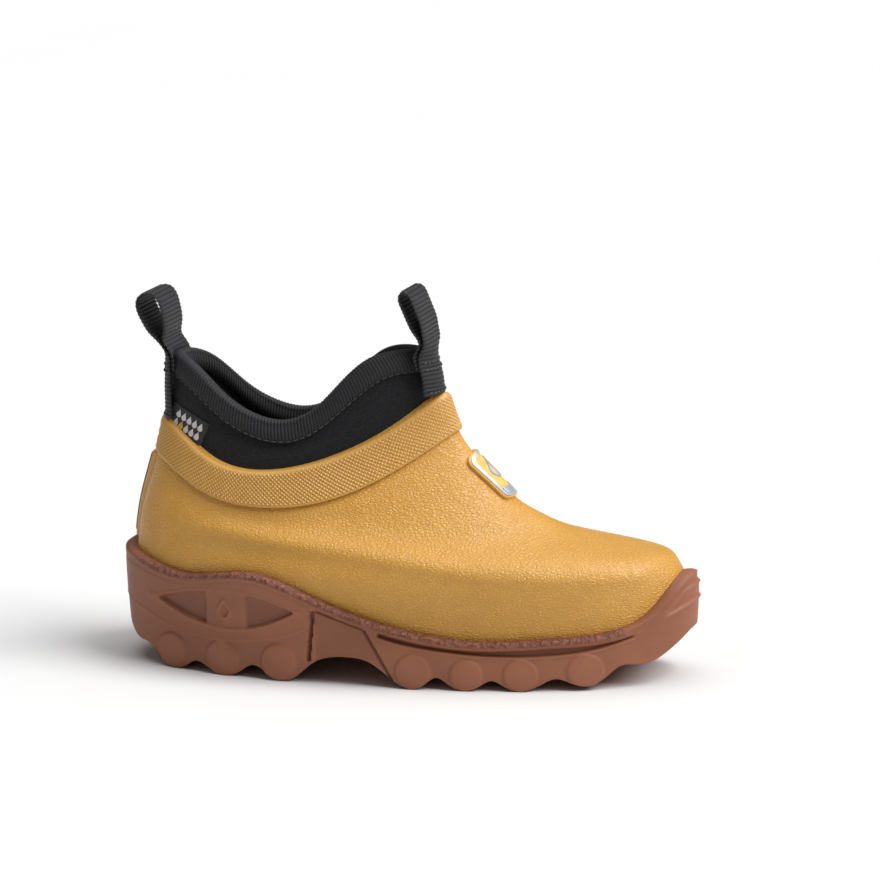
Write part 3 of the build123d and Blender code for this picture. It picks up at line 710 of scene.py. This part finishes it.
def solid_plate(outline, base, top, soften=0.2):
    """Rows of a plate: under face, side, softened edge and top face, closed at the middle of both faces."""
    inner = [0, 0.25, 0.5, 0.75, 0.93]
    return ([(outline * k, base) for k in inner] + [(outline, base), (outline, top - soften),
            (outline * 0.98, top - 0.04)] + [(outline * k, top) for k in inner[::-1]])


def rounded_box(half_a, half_b, power=7, count=96):
    """Superellipse: a rectangle with softened corners."""
    t = np.linspace(0, 2 * np.pi, count, endpoint=False)
    return np.stack([half_a * np.sign(np.cos(t)) * np.abs(np.cos(t)) ** (2 / power),
                     half_b * np.sign(np.sin(t)) * np.abs(np.sin(t)) ** (2 / power)], 1)


def drop_outline(radius, tip, count=48):
    """Round belly that narrows to a tip above it."""
    t = np.linspace(0, 2 * np.pi, count, endpoint=False) + np.pi / 2
    pinch = (0.5 + 0.5 * np.sin(t)) ** 3
    return np.stack([radius * np.cos(t) * (1 - 0.75 * pinch),
                     radius * np.sin(t) + (tip - radius) * pinch ** 2], 1)


def woven(name, colour, shade, pitch):
    """Damask: two crossed thread waves in relief, and in colour as painted shade where the threads dip."""
    f = Finish(name, Roughness=0.75, Sheen_Weight=0.2)
    warp, weft = (f.node("ShaderNodeTexWave", {"bands_direction": way},
                         {"Vector": f.place, "Scale": pitch}) for way in "XZ")
    # painted shade: where the crossed threads dip, the weave takes the darker colour
    return f.to(Base_Color=f.mix(warp * weft, shade, colour), Normal=f.bump(warp + weft, 0.00008, 0.7))


plaque("side_label_woven", on_side, solid_plate(rounded_box(*LABEL_HALF, 12), -0.3, LABEL_THICK), "boot",
       ["side_label"], woven("damask_black", srgb(52, 50, 54), srgb(26, 25, 28), 620.0))
white_weave = woven("damask_white", srgb(238, 232, 226), srgb(196, 188, 182), 900.0)
yellow_weave = woven("damask_yellow", srgb(232, 196, 60), srgb(190, 150, 40), 900.0)
drop_rows = solid_plate(drop_outline(1.12, 1.95), LABEL_THICK - 0.1, LABEL_THICK + DROP_PROUD, 0.05)
for row, b in enumerate(DROP_ROWS):
    for k in range(DROPS_IN_ROW):
        place = [FIRST_DROP + k * DROP_PITCH, b]
        plaque(f"label_drop_{row}{k}", on_side, [(outline + place, h) for outline, h in drop_rows],
               "boot", ["label_motif"] if row + k == 0 else None,
               yellow_weave if (row, k) == (1, 1) else white_weave)
edge_line = rounded_box(LABEL_HALF[0] - 0.75, LABEL_HALF[1] - 0.7, 12, 60)
starts = on_side(edge_line[:, 0], edge_line[:, 1], np.full(len(edge_line), LABEL_THICK + 0.02))
ends = starts + 0.6 * (np.roll(starts, -1, axis=0) - starts)
long_enough = np.linalg.norm(ends - starts, axis=1) > SHORTEST
threads("label_edge_stitches", starts[long_enough], ends[long_enough], LABEL_THREAD, "boot",
        ["label_stitches"], BLACK_THREAD)

# ==== Instep badge: soft PVC ====
# A yellow PVC plate with a half-round upper end, bonded on the instep's ridge. Its border, a plain drop
# and a bar at its foot are moulded in silver on the yellow.
BADGE_HEIGHT, BADGE_TILT, BADGE_SHIFT = 68.9, 0.7071, 1.0
BADGE_HALF, BADGE_LONG, BADGE_CORNER = 6.4, 10.8, 1.2
FACE, RAISED, BAR_AT = 1.5, 1.8, np.array([0, -7.9])


def on_instep(a, b, proud):
    return facing(a + BADGE_SHIFT, BADGE_HEIGHT + b * BADGE_TILT, proud, 1)


def arch_outline(grow, count=120):
    """Rectangle whose upper end is a half circle, resampled evenly round its edge."""
    half, foot = BADGE_HALF + grow, -BADGE_LONG - grow
    shoulder = BADGE_LONG - BADGE_HALF
    t = np.linspace(0, np.pi, 40)
    corner = BADGE_CORNER + grow * 0.5
    turn = np.linspace(0, np.pi / 2, 8)
    left = np.stack([-half + corner - corner * np.cos(turn), foot + corner - corner * np.sin(turn)], 1)
    right = np.stack([half - corner + corner * np.sin(turn), foot + corner - corner * np.cos(turn)], 1)
    arch = np.stack([half * np.cos(t), shoulder + half * np.sin(t)], 1)
    line = np.concatenate([arch, left, right, arch[:1]])
    run = np.concatenate([[0], np.cumsum(np.hypot(*np.diff(line, axis=0).T))])
    even = np.linspace(0, run[-1], count, endpoint=False)
    return np.stack([np.interp(even, run, line[:, 0]), np.interp(even, run, line[:, 1])], 1)


def moulded(name, colour, shade, metallic, rough):
    """Soft moulded plastic: faint orange peel and a slightly worn gloss."""
    f = Finish(name, Metallic=metallic)
    cloud = f.noise(260, 3)
    return f.to(Base_Color=f.mix(f.level(cloud, 0.35, 0.65), shade, colour),
                Roughness=f.level(cloud, 0.3, 0.7, rough, rough + 0.14),
                Normal=f.bump(f.noise(1400, 2), 0.00005, 0.4))


BADGE_YELLOW = moulded("badge_pvc_yellow", srgb(232, 186, 100), srgb(220, 170, 80), 0.0, 0.42)
SILVER = moulded("badge_pvc_silver", srgb(188, 190, 200), srgb(164, 167, 180), 0.25, 0.34)
edge, face = arch_outline(0), arch_outline(-0.6)
plaque("badge_plate", on_instep, [(edge * 0, -0.4), (edge * 0.5, -0.4), (edge, -0.4), (edge, FACE - 0.3),
                                  (arch_outline(-0.35), FACE)]
       + [(face * k, FACE) for k in (1, 0.75, 0.5, 0.25, 0)],
       "boot", ["badge_base"], BADGE_YELLOW)
plaque("badge_rim", on_instep, [(arch_outline(-0.45), FACE - 0.05), (arch_outline(-0.5), RAISED),
                                (arch_outline(-1.5), RAISED), (arch_outline(-1.6), FACE - 0.05)],
       "boot", ["badge_border"], SILVER, ring=True)
drop, hollow = drop_outline(3.3, 6.6, 64) + [0, 1.0], drop_outline(1.9, 3.4, 64) + [0, 0.7]
plaque("badge_drop", on_instep, [(drop, FACE - 0.05), (drop * [0.98, 1], RAISED + 0.05),
                                 (hollow * [1.03, 1], RAISED + 0.05), (hollow, FACE - 0.05)],
       "boot", ["badge_motif"], SILVER, ring=True)
bar = rounded_box(4.6, 1.5, 8)
plaque("badge_bar", on_instep, [(BAR_AT + bar * k, FACE - 0.05) for k in (0, 0.6, 1)]
       + [(BAR_AT + bar, RAISED)] + [(BAR_AT + bar * k, RAISED + 0.05) for k in (0.97, 0.6, 0)],
       "boot", None, SILVER)

# ==== Outsole: gum rubber cup ====
# Injection-moulded gum rubber, bonded round the upper. It has a rough bead along its top, a raised
# frame round a sunk eye with a plain tile, an arch panel, a long forefoot groove, and a round pad
# raised on each lug. Two ribs cross the toe guard.
SOLE_WALL, DRAFT = 4.0, 0.28
TREAD = spline([
    (-108, 24), (-102, 15), (-98, 10.2), (-94, 7.6), (-90, 7.3), (-86.5, 5.3), (-82.5, 1.6), (-78, 0),
    (-73.2, 1.5), (-69.3, 3.7), (-65, 2.4), (-58, 0), (-51, 2.2), (-46.6, 4.7), (-42, 2.8), (-35.5, 0),
    (-29.5, 2.4), (-25, 6.4), (-19, 9.4), (-10, 10.2), (-3.5, 9.0), (2, 5.4), (7, 1.6), (12, 0),
    (16.8, 1.9), (20.5, 4.3), (24.8, 2.1), (31, 0), (36, 1.8), (39.8, 3.7), (43.8, 1.9), (49, 0),
    (56, 2.0), (61.7, 4.4), (66, 2.9), (71.5, 1.5), (77.5, 4.2), (82.5, 8.2), (86, 8.4), (90, 8.2),
    (95, 10.4), (101, 16.5), (108, 25)])
# each pad's place in side view and its radius
PADS = [(-78.5, 6.6, 6.1), (-58, 6.2, 6.3), (-36.5, 6.6, 6.4), (12.5, 6.2, 6.2), (31, 5.6, 5.6),
        (49.5, 5.8, 5.8), (71, 7.2, 6.0)]
EYE_TOP = spline([(-83.7, 25.5), (-70, 29.2), (-56, 30.6), (-42, 29.0), (-30, 25)])
EYE_FOOT = spline([(-83.7, 25.5), (-75, 21.6), (-65, 18.6), (-53.4, 17.5), (-42, 19.6), (-30, 25)])
FRAME_FOOT = spline([
    (-106, 24.5), (-99.6, 22), (-88, 18.2), (-77, 14.8), (-66, 12.9), (-56.6, 12.4), (-45, 13.4),
    (-33, 16), (-26, 19)])
GROOVE = spline([
    (-4, 21.5), (-0.5, 20), (15.6, 16.3), (32.7, 14.4), (47.5, 13.9), (63, 14.9), (76, 17), (87, 20)])
PAD_HIGH, EYE_DEEP, SLOT_DEEP, GROOVE_DEEP, BEAD_HIGH, BEAD_WIDE = 0.9, 1.5, 2.2, 1.9, 0.8, 2.9


def step_up(value):
    """0 outside an edge and 1 inside it, over a moulded draft."""
    return ease(-DRAFT, DRAFT, value)


def between_lines(x, z, low, high, first, last):
    return step_up(z - low(x)) * step_up(high(x) - z) * step_up(x - first) * step_up(last - x)


def ripple(distance, width):
    """Bell-shaped bead over a distance: 1 on its line."""
    return np.exp(-(distance / width) ** 2)


def ornament(x, z):
    """Height of the side wall's moulded pattern at a place in side view: raised pads, frame and panel
    edges, and sunk eye, slot and groove."""
    h = np.zeros_like(x)
    for px, pz, radius in PADS:
        d = np.hypot(x - px, z - pz)
        h += PAD_HIGH * step_up(radius - d) * (1 - 0.3 * np.clip(d / radius, 0, 1) ** 2)
    # heel frame, with a bead along its foot
    edge = z - FRAME_FOOT(x)
    h += (0.45 * step_up(edge) + 0.35 * ripple(edge - 0.5, 0.5)) * step_up(-24.5 - x) * ease(-104, -96, x)
    # sunk eye with a plain tile, a lip round the eye, and a drop moulded on the tile
    eye = between_lines(x, z, EYE_FOOT, EYE_TOP, -83, -30.5)
    tile = step_up(x + 64) * step_up(-48.7 - x)
    h -= EYE_DEEP * eye * (1 - tile) + 0.2 * eye * tile
    lip = between_lines(x, z, lambda v: EYE_FOOT(v) - 1.5, lambda v: EYE_TOP(v) + 1.0, -88, -27) - eye
    h += 0.3 * np.clip(lip, 0, 1)
    across, up = (x + 56.3) / 2.3, (z - 23.6) / 2.7
    ring = np.hypot(across * (1 + 0.35 * np.clip(up, 0, 2)), up - 0.15 * np.clip(up, 0, 2) ** 2)
    h += 0.85 * ripple(ring - 1, 0.26) * tile
    # slot behind the arch, and the arch's sunk panel under a ridge
    slot = step_up(0.7 - np.abs(x + 24.3 + (z - 18) * -0.10)) * step_up(z - 8) * step_up(26 - z)
    roof = 25.2 - (x + 20.6) * 0.327
    rake = (-5.3 - x) + (20 - z) * 0.565
    panel = step_up(x + 23) * step_up(roof - z) * step_up(rake)
    ridge = step_up(x + 22.6) * step_up(roof + 0.9 - z) * step_up(rake + 1.0) - panel
    h -= SLOT_DEEP * slot + 0.5 * panel + 1.3 * np.clip(ridge, 0, 1) * step_up(x + 22.5)
    # forefoot groove, with a bead under it
    width = 1.5 + 0.5 * ripple(x - 72, 16)
    span = step_up(x) * step_up(86.5 - x)
    h -= GROOVE_DEEP * step_up(width - np.abs(z - GROOVE(x))) * span
    h += 0.35 * ripple(z - GROOVE(x) + width + 0.7, 0.45) * span
    # toe guard and its two ribs
    h += 0.6 * ease(84, 92, x) * ease(10, 16, z)
    for rise in (26.0, 31.6):
        h += 0.75 * ripple(z - rise - (x - 99) * 0.55, 0.75) * ease(93.5, 97, x)
    return h


around = share_at(even_turns(flat_line(14), -SOLE_WALL, 900)[0])
feather = crossing(FEATHER, around)
low, high = np.zeros(len(around)), np.full(len(around), 40.0)
for _ in range(HALVINGS):
    middle = (low + high) / 2
    above = middle > np.maximum(TREAD(last_xy(middle, -SOLE_WALL, around)[0]), 0)
    low, high = np.where(above, low, middle), np.where(above, middle, high)
tread = (low + high) / 2
wall_rows = between(feather - 0.9, tread + 0.25, 66)
x, _ = last_xy(wall_rows, -SOLE_WALL, around[None, :])
# the rough bead along the top: a half-round, with small waves in it
depth = (feather - wall_rows) / BEAD_WIDE
beaded = (0.25 + 0.75 * ease(-96, -80, x)) * (1 - ease(80, 88, x))
bead = BEAD_HIGH * np.sqrt(np.clip(1 - (depth * 2 - 1) ** 2, 0, 1)) * (depth < 1) * beaded
wave = np.sin(x * 2.1 + wall_rows * 1.7) * np.sin(x * 0.83 - wall_rows * 2.9 + 1)
wave = 0.12 * beaded * wave * (depth < 1)
height = ornament(x, wall_rows) * (1 - step_up(1.15 - depth)) + bead + wave
side = side_wall(-SOLE_WALL - height, wall_rows)
lip = np.stack([on_last(feather + rise, inset, around) for inset, rise in
                ((0.05, -1.0), (0.0, -0.1), (-0.8, 0.1), (-2.4, 0.25), (-3.6, 0.0), (-4.2, -0.4))])
under = on_last(tread, -SOLE_WALL + 0.3, around)[None]
# the underside, with three shallow channels along it
underside = zipped(under[0], 20)
off = underside[..., 1] + 1
channel = ripple(off, 2.4) + 0.7 * ripple(np.abs(off) - 17, 1.6)
x = underside[..., 0]
underside[..., 2] += 1.7 * channel * ease(-96, -84, x) * (1 - ease(78, 92, x))
shell_foot = crossing(INSTEP_FLOOR, around)
cup = side_wall(0.05, between(feather - 2, shell_foot, 5))
cup_floor = zipped(cup[-1], 5)[::-1]
points = np.concatenate([cup_floor, cup[::-1], lip, side, under, underside])
rough_lip, relief = np.zeros(points.shape[:2]), np.zeros(points.shape[:2])
lip_at = len(cup_floor) + len(cup)
side_at = lip_at + len(lip)
rough_lip[lip_at:side_at] = beaded[0]
rough_lip[side_at:side_at + len(side)] = (1 - ease(0.45, 0.9, depth)) * beaded
relief[side_at:side_at + len(side)] = height
sole = skin("outsole_gum", points, "boot", ["outsole"], round_rows=False, edge=60,
            attribute={"rough_lip": rough_lip, "relief": relief})
f = Finish("gum_rubber_moulded", Specular_IOR_Level=0.4)
lip_mask = f.attribute("rough_lip")
cloud = f.noise(38, 3)
pits = f.noise(900, 3)
crumble = f.level(f.noise(520, 4), 0.42, 0.6)
gum = f.mix(f.level(cloud, 0.35, 0.65), srgb(138, 85, 59), srgb(150, 95, 68))
# painted shade darkens the sunk eye, slot, panel and groove; a painted highlight lightens the raised pads,
# frame, ribs, bead and toe guard
sunk = f.level(f.attribute("relief"), -1.3, -0.2, 1.0, 0.0)
proud = f.level(f.attribute("relief"), 0.45, 1.2)
gum = f.mix(proud * 0.35, f.mix(sunk * 0.5, gum, srgb(104, 62, 50)), srgb(176, 112, 86))
gum = f.mix(lip_mask * 0.4, gum, srgb(112, 62, 54))
# painted shade darkens the hollows of the rough bead's crumbly texture
wear(sole, f.to(Base_Color=f.mix(lip_mask * (1 - crumble) * 0.5, gum, srgb(88, 46, 44)),
                Roughness=f.level(cloud + pits * 0.3, 0.4, 0.9, 0.5, 0.62) - lip_mask * crumble * 0.22,
                Normal=f.bump(crumble * lip_mask * 1.6 + pits * 0.35, 0.00035, 0.8)))

# ==== Inside: lining, board and footbed ====
# Grey knit is bonded inside the rubber. A fibre board closes the bottom, and a loose EVA footbed with
# a brushed cloth cover lies on it.
LINING_BACK, FOOT_FACE = 3.0, 4.2
BOARD, FOOTBED, COVER = 1.6, 4.0, 1.0
GLUE, DISH = 0.05, 0.5
around = share_at(np.linspace(0, 2 * np.pi, 260, endpoint=False))
shell_floor = crossing(INSTEP_FLOOR, around) + SHELL_WALL
board_top = shell_floor + BOARD
lining_top = crossing(BAND_TOP, around) - 9.6
lining = skin("sock_lining_knit",
              np.concatenate([side_wall(SHELL_WALL + GLUE, between(board_top, lining_top, 24)),
                              side_wall(LINING_BACK, between(lining_top, board_top, 24))]),
              "boot", ["sock_lining"])
f = Finish("knit_grey", Sheen_Weight=0.4, Roughness=0.9)
stitch = f.cells(1300, "F1", f.stretched((1, 1, 0.6)))
wear(lining, f.to(Base_Color=f.mix(f.level(stitch, 0.1, 0.7), srgb(74, 74, 78), srgb(40, 40, 43)),
                  Normal=f.bump(stitch, 0.0002, 0.8)))
board_edge = side_wall(SHELL_WALL + GLUE, between(shell_floor + GLUE, board_top, 2))
board = skin("insole_board_fibre",
             np.concatenate([zipped(board_edge[0])[::-1], board_edge, zipped(board_edge[-1])]),
             "boot", ["insole_board"], round_rows=False)
f = Finish("fibre_board_buff", Roughness=0.85)
fibre = f.noise(240, 5, f.stretched((1, 3, 3)))
wear(board, f.to(Base_Color=f.mix(fibre, srgb(176, 158, 130), srgb(206, 190, 162)),
                 Normal=f.bump(fibre, 0.0002, 0.6)))

foot_row = crossing(INSTEP_FLOOR, around, SHELL_WALL + BOARD + 0.3, FOOT_FACE)


def cushion(name, low, high, node):
    """Cut sheet with rolled edges, whose top rises a little between its edge and its middle line."""
    roll = 0.25 * (high - low)
    section = ((low, 1.0), (low + roll * 0.3, 0.3), (low + roll, 0),
               (high - roll, 0), (high - roll * 0.3, 0.3), (high, 1.0))
    edge = np.stack([on_last(foot_row + z, FOOT_FACE + k * roll, around) for z, k in section])
    foot, top = zipped(edge[0], 12), zipped(edge[-1], 12)
    top[..., 2] += DISH * np.sin(np.pi * np.linspace(0, 1, 12)[1:, None])
    return skin(name, np.concatenate([foot[::-1], edge, top]), "footbed", [node], round_rows=False)


bed = cushion("footbed_foam", 0.0, FOOTBED, "footbed")
cover = cushion("footbed_cloth", FOOTBED + 0.02, FOOTBED + COVER, "footbed_cover")
f = Finish("eva_grey", Roughness=0.8)
pores = f.cells(900)
wear(bed, f.to(Base_Color=f.mix(f.level(pores, 0.1, 0.6), srgb(92, 92, 94), srgb(66, 66, 68)),
               Normal=f.bump(pores, 0.0001, 0.5)))
f = Finish("brushed_cloth_charcoal", Roughness=0.95, Sheen_Weight=0.5)
nap = f.noise(1500, 4)
wear(cover, f.to(Base_Color=f.mix(f.level(nap, 0.3, 0.7), srgb(44, 44, 47), srgb(66, 66, 70)),
                 Normal=f.bump(nap, 0.0003, 0.8)))

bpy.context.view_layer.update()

# ==== Studio: pale floor, soft light and the camera ====
# Seamless white paper under three broad distant lights: a key from beyond the toe, a weaker one from
# above, and a faint one from the camera's side. The camera stands off at the toe's side with a long lens.
AZIMUTH, ELEVATION, ROLL = np.radians([16.0, 11.5, -0.5])
DISTANCE, AIM, FOCAL = 1.7, Vector((0.01174, 0, 0.0804)), 198
PAPER, AIR = ((0.73, 0.73, 0.73, 1), (0.74, 0.74, 0.74, 1)), 0.17

bpy.ops.mesh.primitive_plane_add(size=30, location=(0, 0, 0))
floor = bpy.context.object
floor.name = "studio_floor"
f = Finish("seamless_paper", Roughness=0.9, Specular_IOR_Level=0.1)
wear(floor, f.to(Base_Color=f.mix(f.level(f.noise(6, 3), 0.3, 0.7), *PAPER)))
world = bpy.data.worlds.new("studio_air")
bpy.context.scene.world = world
world.use_nodes = True
sky = world.node_tree.nodes["Background"].inputs
sky["Color"].default_value, sky["Strength"].default_value = (1, 1, 1, 1), AIR


def towards(azimuth, elevation):
    """Direction at a compass angle, 0 on the boot's outer side and 90 at the toe, and a height."""
    return Vector((np.sin(azimuth) * np.cos(elevation), -np.cos(azimuth) * np.cos(elevation),
                   np.sin(elevation)))


def soft_sky(name, azimuth, elevation, spread, strength):
    """Broad distant light from a direction in degrees."""
    data = bpy.data.lights.new(name, "SUN")
    data.angle, data.energy = np.radians(spread), strength
    lamp = bpy.data.objects.new(name, data)
    lamp.rotation_euler = towards(*np.radians([azimuth, elevation])).to_track_quat("Z", "Y").to_euler()
    bpy.context.scene.collection.objects.link(lamp)


soft_sky("key_sky", 84, 48, 45, 3.1)
soft_sky("top_sky", 170, 80, 60, 1.5)
soft_sky("front_sky", 10, 40, 60, 0.06)

back = towards(AZIMUTH, ELEVATION)
right = Vector((np.cos(AZIMUTH), np.sin(AZIMUTH), 0))
up = back.cross(right)
right, up = (np.cos(ROLL) * right + np.sin(ROLL) * up), (np.cos(ROLL) * up - np.sin(ROLL) * right)
lens = bpy.data.cameras.new("studio_camera")
lens.lens, lens.sensor_width, lens.clip_end = FOCAL, 36, 50
camera = bpy.data.objects.new("studio_camera", lens)
turned = Matrix((right, up, back)).transposed().to_4x4()
camera.matrix_world = Matrix.Translation(AIM + back * DISTANCE) @ turned
bpy.context.scene.collection.objects.link(camera)
bpy.context.scene.camera = camera
bpy.context.scene.view_settings.view_transform = "Standard"
